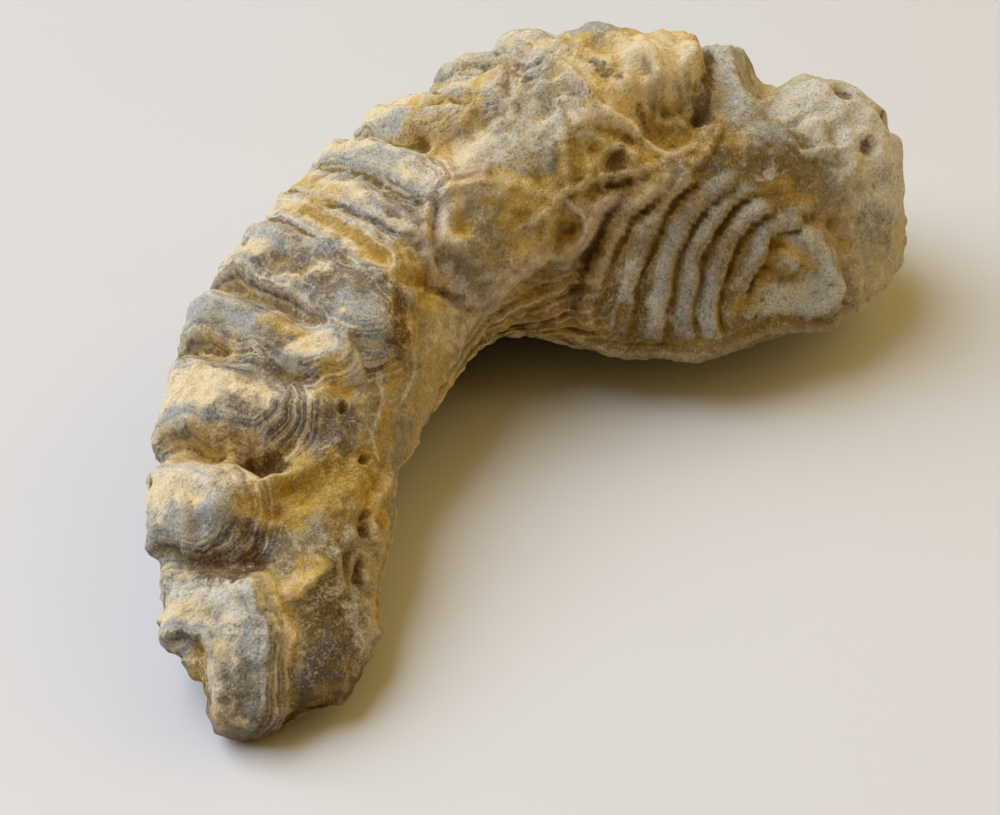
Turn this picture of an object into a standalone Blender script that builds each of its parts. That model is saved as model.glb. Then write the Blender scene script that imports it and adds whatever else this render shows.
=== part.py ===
# Fossil oyster of the narrow, bow-shaped kind: one piece of stone, both valves shut on each other.
# Metres, +Z up. X runs along the chord of the bow, from the tip (-X) to the beak end (+X).
# +Y is the convex, ribbed side, and the bay of the bow opens to -Y.
# The origin is under the middle of the fossil, on the surface it rests on.
#
# A place on the shell is given by two numbers. "along" runs from 0 at the tip to 1 at the beak end.
# "around" runs once round the section: 0 outer margin, 0.25 crest, 0.5 inner margin, 0.75 underside.
# What is marked by hand on the near side is given as it is sighted from SIGHT_PLACE, in a frame
# 1000 wide and 815 high, and lies on the shell under that sighting.
# Widths, heights and depths are in millimetres until the vertices are placed.

import math
from itertools import product

import bmesh
import bpy
import numpy as np

MM = 0.001
NAME = "fossil_clam"

# Mesh: rings from the tip to the beak end, corners in each ring, and how much closer they stand on top.
RINGS = 108
CORNERS = 44
DENSER_ON_TOP = 0.30
DENSEST_AT = 0.28

# Spine of the bow in plan, and the section at the same ten stations, evenly spaced from tip to beak end.
SPINE = [(-48.5, -24.2), (-44.0, -17.8), (-37.5, -10.3), (-28.5, -2.3), (-17.0, 4.2),
         (-3.0, 7.7), (12.0, 6.2), (25.0, -1.8), (38.0, -6.8), (51.0, -8.8)]
HEADING = [45, 45, 43, 37.5, 24, 4, -18, -25, -17, -9]  # degrees from +X
OUTER_WIDTH = [4, 6.6, 9.6, 12.5, 15.3, 17, 16.8, 15, 14.8, 14.5]
INNER_WIDTH = [4.4, 9.4, 10.6, 10.3, 11.6, 12.0, 18.6, 19, 15.5, 12.5]
CREST_HEIGHT = [6, 10, 14.5, 18, 22, 27, 32.3, 31, 27, 24.5]
OUTER_MARGIN_HEIGHT = [3, 5, 8, 9, 10, 11, 11, 11, 10, 8]
INNER_MARGIN_HEIGHT = [2.5, 3.5, 6, 8, 9.5, 9.5, 7.8, 8, 8, 7.5]
UNDERCUT = [0, 0.5, 1, 1.5, 2, 4.5, 8, 7, 5, 3]
TIP_CAP = 0.07
BEAK_CAP = 0.08
MIDDLE_SHARE = 0.45  # height of the middle of a section, as a share of its crest

# Ribs of the convex side: the places along the outer shoulder where a furrow parts two ribs.
FURROWS = [0.0, 0.05, 0.154, 0.278, 0.350, 0.417, 0.478, 0.522, 0.566, 0.608, 0.648,
           0.688, 0.728, 0.770, 0.815, 0.865, 0.920, 1.0]
RIB_HEIGHT = [0.6, 1.1, 1.5, 1.7, 1.5, 1.3, 1.2, 1.0, 0.8, 0.6]
RIB_SLANT = [0.0, 0.05, 0.14, 0.18, 0.26, 0.10, 0.0, 0.0, 0.0, 0.0]
RIB_ROUNDNESS = 0.75
RIB_BALANCE = 0.6
MARKED_SHARE = 0.85  # how much of a rib gives way where a marked fold stands for it

# Zigzag seam between the valves.
SEAM_DEPTH = 0.9
SEAM_WIDTH = 0.010
SEAM_OFFSET = 0.035
SEAM_SWING = 0.030

# Edge of the top mass over the layered inner flank, as (along, around).
RIM = [(0.0, 0.500), (0.30, 0.498), (0.37, 0.492), (0.447, 0.472), (0.543, 0.446), (0.597, 0.430),
       (0.642, 0.422), (0.664, 0.410), (0.726, 0.393), (0.758, 0.362), (0.780, 0.330), (1.0, 0.30)]
RIM_STEP = 1.3
LAMELLA_SPACING = 1.7
LAMELLA_HEIGHT = 0.35

# Raised plate beside the bay, as its corners, then its rim and its hollow middle.
PLATE = [(0.537, 0.306), (0.497, 0.350), (0.531, 0.448), (0.590, 0.432), (0.619, 0.384), (0.580, 0.345)]
PLATE_SCALE = (125.0, 95.0)  # mm for one turn of along and of around, near the plate
PLATE_RISE = 1.3
PLATE_DISH = 0.7
PLATE_EDGE = 1.5

# Unevenness, as height, size of the lumps and seed.
BODY_LUMPS = (0.6, 9.0, 1)
SKIN_LUMPS = (0.35, 4.0, 2)
RIB_LUMPS = (0.6, 13.0, 3)
RIB_WANDER = (0.16, 11.0, 4)
LINE_WANDER = (0.35, 2.0, 61)
FOLD_WANDER = (0.8, 4.2, 50)
FOLD_CHIPS = (0.3, 1.6, 65)
PLATE_WANDER = (0.35, 3.2, 71)
PLATE_CHIPS = (0.20, 1.3, 72)
PLATE_UNEVEN = (0.35, 5.0, 73)

# Swollen top of the arch, which ends where the smooth dome behind it begins.
BULB_START = 0.66
BULB_END = 0.780
BULB_EASE = 0.015
BULB_RISE = 1.5

# Where the near side is sighted from.
SIGHT_PLACE = (-85.9, -97.5, 106.1)
SIGHT_AZIMUTH = -41.0
SIGHT_ELEVATION = 40.0
SIGHT_FOCUS = 1500.0
SIGHT_MIDDLE = (500.0, 407.5)

# Folds of the ribs: the sighted middle line from the outer margin to the nose, reach to either side, rise.
FOLDS = [
    ([(168, 606), (195, 606), (222, 612), (238, 640), (240, 680), (238, 712)], 3.4, 1.7),
    ([(150, 505), (185, 505), (212, 507)], 4.6, 2.6),
    ([(160, 395), (205, 390), (252, 405)], 4.4, 2.2),
    ([(185, 302), (240, 322), (306, 352)], 3.6, 2.0),
    ([(232, 245), (285, 262), (345, 292), (362, 316)], 4.0, 2.1),
    ([(275, 206), (325, 220), (378, 258)], 2.4, 1.4),
    ([(300, 176), (350, 190), (405, 222)], 2.2, 1.2),
    ([(325, 148), (372, 155), (420, 175)], 2.6, 1.4),
    ([(362, 114), (405, 116), (440, 110)], 2.4, 1.5),
    ([(400, 84), (445, 86), (490, 84)], 2.2, 1.3),
    ([(450, 57), (500, 59), (540, 54)], 2.2, 1.2),
]
FOLD_BASE = 0.7
FOLD_EDGE = (0.70, 1.60)  # shares of the reach between which a fold falls away
FOLD_STEEPER = 0.35  # how much of that is left out on the side towards the tip
FOLD_DISH = 0.20

# Lone ridges and grooves: sighted line, half width, height (a negative height cuts in).
RIDGES = {
    "orange furrow": ([(298, 196), (340, 222), (380, 252), (440, 287), (478, 305)], 1.7, -1.5),
    "furrow below fold two": ([(185, 552), (225, 556), (262, 535)], 3.0, -2.0),
    "furrow above fold two": ([(168, 447), (215, 458), (243, 480), (254, 505)], 2.0, -1.2),
    "ochre furrow": ([(254, 500), (282, 489), (312, 480), (345, 470)], 1.5, -1.0),
    "facet ridge": ([(246, 593), (284, 590), (304, 575), (330, 555)], 1.4, 0.9),
    "tip groove": ([(188, 642), (198, 662), (200, 690), (204, 712)], 1.3, -2.0),
    "bay hollow": ([(366, 560), (369, 585)], 1.2, -1.7),
    "valley one": ([(170, 445), (205, 440), (250, 445), (300, 436)], 2.4, -2.0),
    "valley two": ([(178, 352), (215, 352), (262, 375), (300, 385)], 1.6, -1.6),
    "valley three": ([(212, 283), (245, 290), (290, 308), (318, 326)], 1.6, -1.8),
    "valley four": ([(262, 222), (310, 236), (352, 262), (380, 290)], 1.2, -1.0),
    "valley five": ([(310, 163), (350, 172), (400, 198)], 1.2, -1.2),
    "valley six": ([(345, 130), (380, 134), (425, 145)], 1.2, -1.2),
    "valley seven": ([(385, 98), (425, 101), (470, 99)], 1.2, -1.2),
    "valley eight": ([(428, 69), (470, 72), (515, 68)], 1.1, -1.1),
    "valley nine": ([(470, 43), (520, 46), (560, 40)], 1.1, -1.0),
    "bulb": ([(598, 74), (628, 64), (650, 62)], 6.2, 2.2),
    "bulb hollow": ([(640, 118), (672, 120), (700, 98)], 2.6, -1.8),
    "dome": ([(715, 66), (738, 84), (756, 108)], 5.0, 0.5),
    "notch": ([(764, 82), (776, 92), (786, 106)], 3.2, -2.0),
    "knob": ([(818, 100), (844, 100), (876, 132), (892, 175)], 5.5, 2.0),
    "bulb cliff": ([(700, 36), (716, 60), (724, 90), (720, 118), (706, 146)], 1.8, -1.3),
    "flank foot": ([(640, 182), (612, 222), (590, 262), (570, 310)], 1.6, -1.2),
    "purple hollow": ([(270, 266), (312, 262)], 1.9, -1.5),
    "cream strand": ([(536, 61), (560, 73), (582, 90), (599, 110), (635, 122), (668, 150)], 0.8, 1.0),
    "boomerang": ([(800, 234), (811, 232), (820, 248), (832, 264), (836, 282), (826, 304)], 1.5, 1.1),
}

# Arching plates on the wall of the beak end. Each is the sighted line of its crest, its width and its height:
# a slow rise on the side away from the eye, and a quick drop towards the eye.
EYE = (790, 262)
ARCH_PLATES = [
    ([(533, 340), (548, 306), (566, 272), (584, 246)], 1.0, 0.5),
    ([(552, 328), (559, 302), (576, 274), (590, 245), (597, 228), (607, 207), (620, 192)], 1.1, 0.8),
    ([(588, 340), (591, 310), (600, 285), (618, 232), (645, 205), (660, 185), (680, 154)], 1.6, 1.2),
    ([(622, 345), (630, 302), (645, 252), (661, 212), (673, 195), (692, 181), (706, 173)], 1.9, 1.4),
    ([(654, 354), (666, 305), (673, 264), (688, 226), (700, 209), (735, 179), (754, 171)], 2.1, 1.4),
    ([(689, 356), (691, 305), (697, 264), (716, 222), (733, 205), (770, 188)], 2.1, 1.4),
    ([(718, 350), (715, 317), (721, 274), (738, 240), (764, 214), (782, 205)], 2.1, 1.4),
    ([(742, 302), (755, 268), (773, 236), (790, 223), (822, 213)], 1.9, 1.2),
]
CREST_DROP = 1.0
PLATE_REACH = 6.0
GULLY_DEPTH = 0.45
GULLY = (0.25, 0.7, 1.1, 1.9)  # where it starts, is full, starts to end and is gone, in mm past the crest

# Hollows, as the sighted place, radius and depth; a negative depth is a lump.
HOLLOWS = [
    (463, 222, 1.6, 0.9), (570, 238, 2.2, 1.8), (452, 140, 4.6, 1.9), (430, 125, 2.0, 0.8),
    (619, 158, 1.6, 1.5), (600, 140, 2.6, 1.2), (590, 148, 1.6, 0.8), (707, 102, 1.3, 1.8),
    (680, 122, 3.4, 1.6), (840, 100, 1.5, 1.3), (882, 124, 1.5, 1.2), (866, 150, 1.2, 1.4),
    (343, 380, 2.0, 0.6), (548, 105, 1.5, 0.9), (640, 75, 3.0, -1.0), (655, 60, 4.5, -1.2),
    (211, 724, 2.6, -1.2), (870, 105, 4.0, -1.2), (795, 140, 3.5, -0.8), (357, 318, 3.0, -0.9),
    (600, 185, 1.8, 0.9), (540, 190, 2.6, 0.7), (872, 175, 2.4, 0.8), (310, 720, 4.0, 0.8),
    (790, 262, 1.9, -1.3),
]


def curve_through(a, b, c, d, f):
    """Smooth step from b to c (Catmull-Rom)."""
    return (b + 0.5 * f * (c - a) + f**2 * (a - 2.5 * b + 2 * c - 0.5 * d)
            + f**3 * (1.5 * b - 0.5 * a - 1.5 * c + 0.5 * d))


def value_at(values, along):
    """Smooth curve through evenly spaced values, read at along, 0 to 1."""
    values = np.asarray(values, float)
    last = len(values) - 1
    before = 2 * values[0] - values[1]
    after = 2 * values[last] - values[last - 1]
    held = np.concatenate([[before], values, [after]])
    x = np.clip(along, 0, 1) * last
    i = np.minimum(x.astype(int), last - 1)
    f = (x - i)[:, None] if values.ndim > 1 else x - i
    return curve_through(held[i], held[i + 1], held[i + 2], held[i + 3], f)


def ring_value(columns, around):
    """Smooth closed curve through evenly spaced columns, read at around, 0 to 1."""
    columns = np.stack(columns, 1)
    count = columns.shape[1]
    x = (around % 1) * count
    i = x.astype(int) % count
    row = np.arange(len(around))
    a, b, c, d = (columns[row, (i + k) % count] for k in (-1, 0, 1, 2))
    return curve_through(a, b, c, d, x - np.floor(x))


def ease(low, high, x):
    """0 below low, 1 above high, smooth between."""
    k = np.clip((x - low) / (high - low), 0, 1)
    return k * k * (3 - 2 * k)


def hump(distance, radius):
    """1 at the centre, 0 from the radius outwards."""
    return np.clip(1 - (distance / radius) ** 2, 0, 1) ** 2


def lumps(points, size, seed):
    """Smooth noise from -1 to 1, with lumps of about the given size in mm."""
    q = points / size + seed * 7.31
    cell = np.floor(q)
    f = q - cell
    f = f * f * (3 - 2 * f)
    total = np.zeros(len(points))
    for corner in product((0, 1), repeat=3):
        h = np.sin((cell + corner) @ (12.9898, 78.233, 37.719)) * 43758.5453
        weight = np.prod(np.where(corner, f, 1 - f), axis=1)
        total += weight * (2 * (h - np.floor(h)) - 1)
    return total


def uneven(points, kind, more_seed=0):
    height, size, seed = kind
    return height * lumps(points, size, seed + more_seed)


def cap(along):
    """Share of the section that is left near the two rounded ends."""
    tip = np.sqrt(np.clip(1 - (1 - along / TIP_CAP) ** 2, 0, 1))
    beak = np.sqrt(np.clip(1 - (1 - (1 - along) / BEAK_CAP) ** 2, 0, 1))
    return np.where(along < TIP_CAP, tip, np.where(along > 1 - BEAK_CAP, beak, 1.0))


def bare_shell(along, around):
    """The body without its relief, in mm."""
    centre = value_at(SPINE, along)
    heading = np.radians(value_at(HEADING, along))
    outer = value_at(OUTER_WIDTH, along)
    inner = value_at(INNER_WIDTH, along)
    crest = value_at(CREST_HEIGHT, along)
    outer_margin = value_at(OUTER_MARGIN_HEIGHT, along)
    inner_margin = value_at(INNER_MARGIN_HEIGHT, along)
    # Outer margin, outer shoulder, crest, inner shoulder, inner margin, inner foot, keel, outer foot.
    across = [outer, 0.86 * outer, 0.10 * outer, -0.66 * inner,
              -inner, -0.34 * inner, 0.15 * outer, 0.62 * outer]
    height = [outer_margin, 0.72 * crest + 0.28 * outer_margin, crest, 0.80 * crest + 0.2 * inner_margin,
              inner_margin, 0.2 * inner_margin, 0 * crest, 0.12 * outer_margin]
    share = cap(along)
    middle = MIDDLE_SHARE * crest
    x = ring_value(across, around) * share
    z = middle + (ring_value(height, around) - middle) * share
    x += value_at(UNDERCUT, along) * ease(0.505, 0.56, around) * (1 - ease(0.62, 0.74, around)) * share
    return np.stack([centre[:, 0] - np.sin(heading) * x, centre[:, 1] + np.cos(heading) * x, z], 1)


def outward(along, around):
    """Unit normals of the bare body."""
    step = 2e-3
    ahead = (bare_shell(np.clip(along + step, 0.002, 0.998), around)
             - bare_shell(np.clip(along - step, 0.002, 0.998), around))
    aside = bare_shell(along, around + step) - bare_shell(along, around - step)
    normal = np.cross(aside, ahead)
    return normal / (np.linalg.norm(normal, axis=1, keepdims=True) + 1e-9)


def place(along, around):
    return bare_shell(np.array([float(along)]), np.array([float(around)]))[0]


def seen_at(points):
    """Where points are sighted in the frame, and how far away they are."""
    turn, tilt = math.radians(SIGHT_AZIMUTH), math.radians(SIGHT_ELEVATION)
    right = np.array([math.cos(turn), math.sin(turn), 0])
    ahead = np.array([-math.sin(turn) * math.cos(tilt), math.cos(turn) * math.cos(tilt), -math.sin(tilt)])
    up = np.cross(right, ahead)
    from_here = points - np.array(SIGHT_PLACE)
    far = from_here @ ahead
    x = SIGHT_MIDDLE[0] + SIGHT_FOCUS * (from_here @ right) / far
    y = SIGHT_MIDDLE[1] - SIGHT_FOCUS * (from_here @ up) / far
    return np.stack([x, y], 1), far


def make_sight_map():
    """The near side of the shell, so that a sighting can be found on it."""
    grid = np.meshgrid(np.linspace(0.003, 0.997, 420), np.arange(300) / 300, indexing="ij")
    along, around = (g.ravel() for g in grid)
    bare = bare_shell(along, around)
    normal = outward(along, around)
    formed = bare + normal * base_relief(bare, along, around)[:, None]
    near = ((np.array(SIGHT_PLACE) - formed) * normal).sum(1) > 0
    seen, far = seen_at(formed)
    grid = {"bare": bare, "seen": seen, "far": far, "along": along, "around": around}
    return {name: values[near] for name, values in grid.items()}


def sighted(sight, mark):
    """Which point of the near side a mark stands on: of those under it, the nearest to the viewer."""
    away = np.linalg.norm(sight["seen"] - np.array(mark, float), axis=1)
    near = np.flatnonzero(away < max(3.0, away.min() + 0.5))
    return near[np.argmin(sight["far"][near] + 0.3 * away[near])]


def on_shell(sight, marks):
    return [sight["bare"][sighted(sight, mark)] for mark in marks]


def line_distance(points, corners):
    """Distance from each point to a line, the share of the line passed there, and the way from the line."""
    corners = np.array(corners)
    lengths = np.linalg.norm(np.diff(corners, axis=0), axis=1)
    before = np.concatenate([[0], np.cumsum(lengths)])
    nearest = np.full(len(points), 1e9)
    passed = np.zeros(len(points))
    away = np.zeros(points.shape)
    for a, b, length, start in zip(corners, corners[1:], lengths, before):
        run = b - a
        share = np.clip((points - a) @ run / (run @ run), 0, 1)
        offset = points - a - share[:, None] * run
        distance = np.linalg.norm(offset, axis=1)
        closer = distance < nearest
        passed = np.where(closer, (start + share * length) / before[-1], passed)
        away = np.where(closer[:, None], offset, away)
        nearest = np.minimum(nearest, distance)
    return nearest, passed, away


def rib_count(along, around):
    """Counts the ribs from the tip: a whole number in each furrow."""
    slanted = along + value_at(RIB_SLANT, along) * np.clip(((around + 0.3) % 1) - 0.4, 0, 0.3)
    return np.interp(slanted, FURROWS, range(len(FURROWS)))


def ribs(points, along, around):
    count = rib_count(along, around) + uneven(points, RIB_WANDER)
    profile = np.abs(np.sin(math.pi * count)) ** RIB_ROUNDNESS - RIB_BALANCE
    upper = 1 - ease(0.15, 0.31, around)
    lower = ease(0.80, 0.90, around)
    height = value_at(RIB_HEIGHT, along) * (1 + uneven(points, RIB_LUMPS))
    marked = (1 - ease(0.50, 0.58, along)) * ease(0.02, 0.08, around) * (around < 0.5)
    return height * profile * np.where(around < 0.5, upper, lower) * (1 - MARKED_SHARE * marked)


def seam(along, around):
    """Zigzag seam between the two valves on the convex side."""
    count = rib_count(along, np.zeros_like(around))
    zigzag = 2 * np.abs(count - np.round(count)) - 0.5
    offset = ((around + 0.5) % 1) - 0.5 + SEAM_OFFSET + SEAM_SWING * zigzag
    reach = ease(0.02, 0.08, along) * (1 - ease(0.80, 0.92, along))
    return -SEAM_DEPTH * np.exp(-((offset / SEAM_WIDTH) ** 2)) * reach


def inner_flank(along, around):
    """Step down from the top mass at its rim, and the layers that show below it."""
    girth = (1.6 * (value_at(OUTER_WIDTH, along) + value_at(INNER_WIDTH, along))
             + 1.4 * value_at(CREST_HEIGHT, along))
    rim = np.array(RIM)
    past = (around - np.interp(along, rim[:, 0], rim[:, 1])) * girth
    inside = (1 - ease(0.52, 0.56, around)) * (around > 0.2)
    reach = ease(0.34, 0.44, along) * (1 - ease(0.775, 0.80, along))
    step = -RIM_STEP * ease(-0.6, 0.6, past) * (1 - ease(5, 14, past))
    layers = LAMELLA_HEIGHT * np.sin(2 * math.pi * past / LAMELLA_SPACING) * ease(0.5, 2, past)
    return (step + layers * (1 - ease(0.58, 0.66, along))) * reach * inside


def plate(along, around):
    """Raised plate with a thick rim and a dished middle."""
    corners = np.array(PLATE) * PLATE_SCALE
    x, y = along * PLATE_SCALE[0], around * PLATE_SCALE[1]
    inside = np.full(len(x), 1e9)
    for (ax, ay), (bx, by) in zip(corners, np.roll(corners, -1, 0)):
        off = ((by - ay) * (x - ax) - (bx - ax) * (y - ay)) / math.hypot(bx - ax, by - ay)
        inside = np.minimum(inside, off)
    return PLATE_RISE * ease(-0.8, 0.8, inside) - PLATE_DISH * ease(PLATE_EDGE, 2.5 * PLATE_EDGE, inside)


def bulb(along, around):
    sides = ease(0.10, 0.20, around) * (1 - ease(0.34, 0.40, around))
    start = ease(BULB_START - 0.10, BULB_START, along)
    end = 1 - ease(BULB_END - BULB_EASE, BULB_END + BULB_EASE, along)
    return BULB_RISE * start * end * sides


def base_relief(points, along, around):
    relief = ribs(points, along, around) + seam(along, around) + inner_flank(along, around)
    return relief + plate(along, around) + bulb(along, around) + uneven(points, BODY_LUMPS)


def fold_line(sight, marks):
    """The marked line, carried on over the back of the shell to the seam."""
    first = sighted(sight, marks[0])
    along, around = sight["along"][first], sight["around"][first]
    rib = rib_count(np.array([along]), np.array([around]))[0]
    carried = []
    for back in np.linspace(SEAM_OFFSET, around, 5)[:-1]:
        choices = np.linspace(max(along - 0.06, 0.005), min(along + 0.06, 0.995), 61)
        turns = rib_count(choices, np.full(61, back))
        carried.append(place(choices[np.argmin(np.abs(turns - rib))], back))
    return carried + on_shell(sight, marks)


def folds(sight, points, along, around):
    """Rounded folds with a steep side towards the tip."""
    total = np.zeros(len(points))
    heading = np.radians(value_at(HEADING, along))
    for number, (marks, reach, rise) in enumerate(FOLDS):
        distance, _, away = line_distance(points, fold_line(sight, marks))
        tipward = -(away[:, 0] * np.cos(heading) + away[:, 1] * np.sin(heading))
        tip_side = ease(-0.3, 0.6, tipward / reach)
        distance = distance + uneven(points, FOLD_WANDER, number) + uneven(points, FOLD_CHIPS)
        share = np.maximum(distance / reach, 0)
        dished = 1 - FOLD_DISH * (1 - ease(0.1, 0.8, share))
        edge = 1 - ease(FOLD_EDGE[0], FOLD_EDGE[1] - FOLD_STEEPER * tip_side, share)
        total = np.maximum(total, rise * dished * edge)
    at_margin = 0.45 + 0.55 * ease(0.02, 0.14, (around + 0.5) % 1 - 0.5)
    return (total - FOLD_BASE) * at_margin


def ridges_and_hollows(sight, points):
    total = np.zeros(len(points))
    wobble = uneven(points, LINE_WANDER)
    for marks, width, height in RIDGES.values():
        distance, passed, _ = line_distance(points, on_shell(sight, marks))
        taper = ease(-0.08, 0.12, passed) * (1 - ease(0.88, 1.08, passed))
        total += height * hump(np.maximum(distance + wobble * width, 0), 1.6 * width) * (0.4 + 0.6 * taper)
    for x, y, radius, depth in HOLLOWS:
        distance = np.linalg.norm(points - on_shell(sight, [(x, y)])[0], axis=1)
        total -= depth * hump(np.maximum(distance + 0.6 * wobble * radius, 0), 1.3 * radius)
    return total


def arch_plates(sight, points):
    """Plates that arch about the eye, each ending in a crest with a gully before the next."""
    total = np.zeros(len(points))
    gully = np.zeros(len(points))
    eye = on_shell(sight, [EYE])[0]
    wander = uneven(points, PLATE_WANDER) + uneven(points, PLATE_CHIPS)
    strength = 0.75 + uneven(points, PLATE_UNEVEN)
    for marks, width, height in ARCH_PLATES:
        distance, passed, away = line_distance(points, on_shell(sight, marks))
        inward = (away * (eye - (points - away))).sum(1) > 0
        side = np.where(inward, distance, -distance) + wander
        ends = ease(0.0, 0.10, passed) * (1 - ease(0.86, 1.0, passed)) * (distance < PLATE_REACH)
        face = ease(-1.25 * width, -0.25 * width, side) * (1 - ease(0.0, CREST_DROP, side))
        total = np.maximum(total, height * strength * face * ends)
        gully = np.maximum(gully, ease(*GULLY[:2], side) * (1 - ease(*GULLY[2:], side)) * ends)
    return total - GULLY_DEPTH * gully


def shell_points(along, around):
    """The finished surface, in mm."""
    sight = make_sight_map()
    points = bare_shell(along, around)
    relief = base_relief(points, along, around) + folds(sight, points, along, around)
    relief += ridges_and_hollows(sight, points) + arch_plates(sight, points) + uneven(points, SKIN_LUMPS)
    points = points + outward(along, around) * (relief * np.minimum(1, 3 * cap(along)))[:, None]
    points[:, 2] = np.maximum(points[:, 2], 0)
    return points


def clear_scene():
    for obj in list(bpy.data.objects):
        bpy.data.objects.remove(obj)


def stone_material():
    material = bpy.data.materials.new("fossil_stone")
    material.use_nodes = True
    shader = material.node_tree.nodes["Principled BSDF"]
    shader.inputs["Base Color"].default_value = (0.36, 0.29, 0.19, 1)
    shader.inputs["Roughness"].default_value = 0.85
    shader.inputs["Metallic"].default_value = 0.0
    return material


def make_fossil(collection):
    """A UV sphere, each vertex moved to its place on the shell."""
    form = bmesh.new()
    bmesh.ops.create_uvsphere(form, u_segments=CORNERS, v_segments=RINGS, radius=1)
    co = np.array([v.co for v in form.verts])
    along = np.arccos(np.clip(co[:, 2], -1, 1)) / math.pi
    corner = (-np.arctan2(co[:, 1], co[:, 0]) / (2 * math.pi)) % 1
    turn = 2 * math.pi
    around = (corner - DENSER_ON_TOP * np.sin(turn * (corner - DENSEST_AT)) / turn) % 1
    placed = shell_points(along, around) * MM
    for vertex, point in zip(form.verts, placed):
        vertex.co = point
    mesh = bpy.data.meshes.new(NAME)
    form.to_mesh(mesh)
    form.free()
    mesh.materials.append(stone_material())
    mesh.shade_smooth()
    fossil = bpy.data.objects.new(NAME, mesh)
    collection.objects.link(fossil)
    return fossil


def main():
    clear_scene()
    collection = bpy.data.collections.new("fossil clam")
    bpy.context.scene.collection.children.link(collection)
    make_fossil(collection)


main()
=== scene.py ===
import math
from itertools import product
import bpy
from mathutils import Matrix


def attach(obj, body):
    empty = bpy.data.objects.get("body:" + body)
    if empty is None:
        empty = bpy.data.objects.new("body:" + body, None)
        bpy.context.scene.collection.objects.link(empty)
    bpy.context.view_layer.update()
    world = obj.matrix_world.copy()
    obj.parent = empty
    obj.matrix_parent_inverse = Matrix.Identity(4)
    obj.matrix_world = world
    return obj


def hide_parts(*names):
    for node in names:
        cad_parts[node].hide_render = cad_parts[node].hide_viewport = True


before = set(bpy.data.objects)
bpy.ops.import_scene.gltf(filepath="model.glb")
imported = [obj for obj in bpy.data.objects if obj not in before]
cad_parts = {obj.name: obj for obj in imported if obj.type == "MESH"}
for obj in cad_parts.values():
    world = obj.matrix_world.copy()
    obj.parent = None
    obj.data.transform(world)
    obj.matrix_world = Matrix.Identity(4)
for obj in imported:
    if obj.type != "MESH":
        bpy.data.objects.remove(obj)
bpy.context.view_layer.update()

from types import SimpleNamespace

import bpy
import numpy as np
from mathutils import Vector

# A place on the shell is two numbers: along, 0 at the tip to 1 at the beak end,
# and around, 0 outer margin, 0.25 crest, 0.5 inner margin, 0.75 underside.
# Lengths in the shell's dictionaries are millimetres. The frame is in metres.
mm = 0.001
scene = bpy.context.scene

# Ten stations, evenly spaced from the tip to the beak end.
shell = {
    "rings": 424,
    "corners": 230,
    "denserOnTop": 0.30,  # how much closer the corners stand on the side that shows
    "spine": [(-48.5, -24.2), (-44.0, -17.8), (-37.5, -10.3), (-28.5, -2.3), (-17.0, 4.2),
              (-3.0, 7.7), (12.0, 6.2), (25.0, -1.8), (38.0, -6.8), (51.0, -8.8)],
    "heading": [45, 45, 43, 37.5, 24, 4, -18, -25, -17, -9],
    "outerWidth": [4.8, 7.6, 10.4, 12.7, 15.3, 17, 16.8, 15, 14.8, 14.5],
    "innerWidth": [4.4, 9.4, 10.6, 10.3, 11.6, 12.0, 18.6, 19, 15.5, 12.5],
    "crestHeight": [6, 10, 14.5, 18, 22, 27, 32.3, 31, 27, 24.5],
    "outerMarginHeight": [3, 5, 8, 9, 10, 11, 11, 11, 10, 8],
    "innerMarginHeight": [2.5, 3.5, 6, 8, 9.5, 9.5, 7.8, 8, 8, 7.5],
    "undercut": [0, 0.5, 1, 1.5, 2, 4.5, 8, 7, 5, 3],
    "tipCap": 0.07,
    "beakCap": 0.08,
}

# Unevenness: height, size of the lumps, seed.
lumpy = {
    "body": (0.6, 9.0, 1), "skin": (0.35, 4.0, 2),
    "ribHeight": (0.6, 13.0, 3), "ribCourse": (0.16, 11.0, 4),
    "line": (0.35, 2.0, 61),
    "fold": (0.8, 4.2, 50), "foldEdge": (0.3, 1.6, 65),
    "plate": (0.35, 3.2, 71), "plateEdge": (0.20, 1.3, 72),
    "plateHeight": (0.35, 5.0, 73), "plateGrey": (0.5, 3.2, 74),
    "steps": (0.4, 4.0, 21), "growth": (1.3, 6.0, 22), "growthEdge": (0.5, 2.2, 23),
    "grain": (0.17, 0.75, 41),
}

ribbing = {
    "furrows": [0.0, 0.05, 0.154, 0.278, 0.350, 0.417, 0.478, 0.522, 0.566, 0.608, 0.648,
                0.688, 0.728, 0.770, 0.815, 0.865, 0.920, 1.0],
    "height": [0.6, 1.1, 1.5, 1.7, 1.5, 1.3, 1.2, 1.0, 0.8, 0.6],
    "slant": [0.0, 0.05, 0.14, 0.18, 0.26, 0.10, 0.0, 0.0, 0.0, 0.0],
    "byHand": 0.85,  # how much of a rib gives way where a fold is drawn for it
}

seam = {"depth": 0.9, "width": 0.010, "offset": 0.035, "swing": 0.030}

flank = {
    "rim": [(0.0, 0.500), (0.30, 0.498), (0.37, 0.492), (0.447, 0.472), (0.543, 0.446), (0.597, 0.430),
            (0.642, 0.422), (0.664, 0.410), (0.726, 0.393), (0.758, 0.362), (0.780, 0.330), (1.0, 0.30)],
    "step": 1.3,
    "layerSpacing": 1.7,
    "layerHeight": 0.35,
}

plateau = {
    "corners": [(0.537, 0.306), (0.497, 0.350), (0.531, 0.448), (0.590, 0.432), (0.619, 0.384),
                (0.580, 0.345)],
    "scale": (125.0, 95.0),  # mm for one turn of along and of around
    "rise": 1.3,
    "dish": 0.7,
    "edge": 1.5,
}

swelling = {"start": 0.66, "end": 0.780, "rise": 1.5}

# What is drawn on the near side is given as the camera sees it, in a frame 1000 wide
# and 815 high, and lands on the shell below that place.
view = {
    "place": (-85.9, -97.5, 106.1),
    "azimuth": -41.0,
    "elevation": 40.0,
    "focus": 1500.0,
    "middle": (500.0, 407.5),
}

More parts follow.
